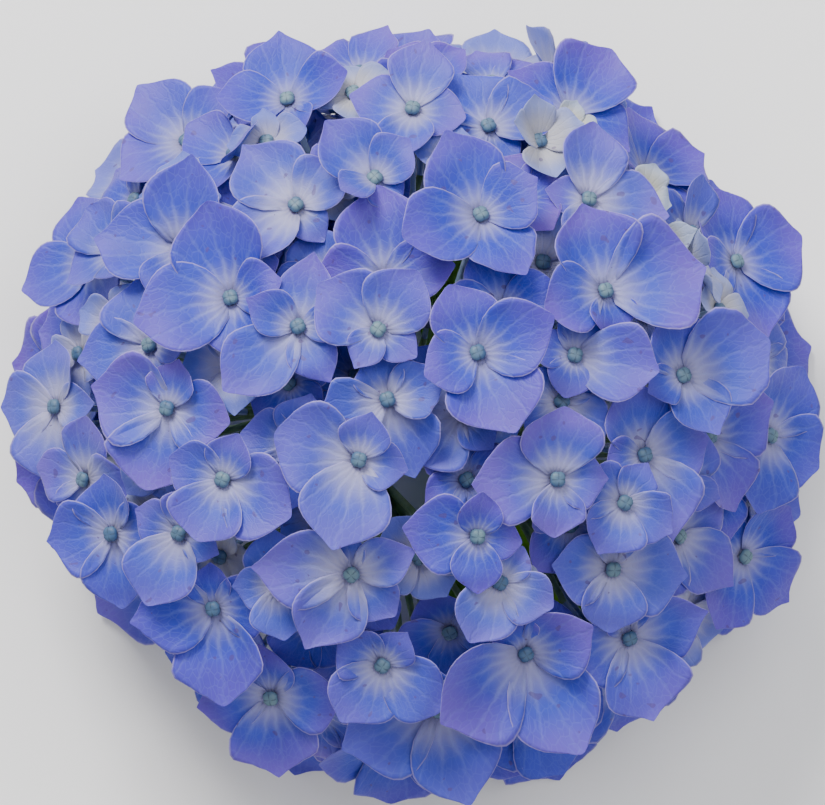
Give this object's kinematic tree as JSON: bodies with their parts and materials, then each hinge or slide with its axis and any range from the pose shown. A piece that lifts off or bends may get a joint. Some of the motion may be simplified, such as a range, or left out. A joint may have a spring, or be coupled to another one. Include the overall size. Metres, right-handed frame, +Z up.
{
  "type": "cut hydrangea",
  "caption": "Mophead hydrangea flower cut short below its head, lying face up on its skirt of blue florets, with a forked peduncle and two leaves under it.",
  "frame": {"origin": "on the table, straight below the middle of the flower's bounding box", "axes": "+Z up along the axis of the flower head, out of its face; +X and +Y lie on the table"},
  "size_m": [0.187, 0.1794, 0.1049],
  "materials": {
    "sepal": "satin",
    "bud": "satin",
    "stem": "satin",
    "leaf": "satin"
  },
  "bodies": {
    "root": {"floret_01": "sepal", "floret_02": "sepal", "floret_03": "sepal", "floret_04": "sepal", "floret_05": "sepal", "floret_06": "sepal", "floret_07": "sepal", "floret_08": "sepal", "floret_09": "sepal", "floret_10": "sepal", "floret_11": "sepal", "floret_12": "sepal", "floret_13": "sepal", "floret_14": "sepal", "floret_15": "sepal", "floret_16": "sepal", "floret_17": "sepal", "floret_18": "sepal", "floret_19": "sepal", "floret_20": "sepal", "floret_21": "sepal", "floret_22": "sepal", "floret_23": "sepal", "floret_24": "sepal", "floret_25": "sepal", "floret_26": "sepal", "floret_27": "sepal", "floret_28": "sepal", "floret_29": "sepal", "floret_30": "sepal", "floret_31": "sepal", "floret_32": "sepal", "floret_33": "sepal", "floret_34": "sepal", "floret_35": "sepal", "floret_36": "sepal", "floret_37": "sepal", "floret_38": "sepal", "floret_39": "sepal", "floret_40": "sepal", "floret_41": "sepal", "floret_42": "sepal", "floret_43": "sepal", "floret_44": "sepal", "floret_45": "sepal", "floret_46": "sepal", "floret_47": "sepal", "floret_48": "sepal", "floret_49": "sepal", "floret_50": "sepal", "floret_51": "sepal", "floret_52": "sepal", "floret_53": "sepal", "floret_54": "sepal", "floret_55": "sepal", "floret_56": "sepal", "floret_57": "sepal", "peduncle": "stem", "leaf_1": "leaf", "leaf_2": "leaf"}
  },
  "joints": []
}
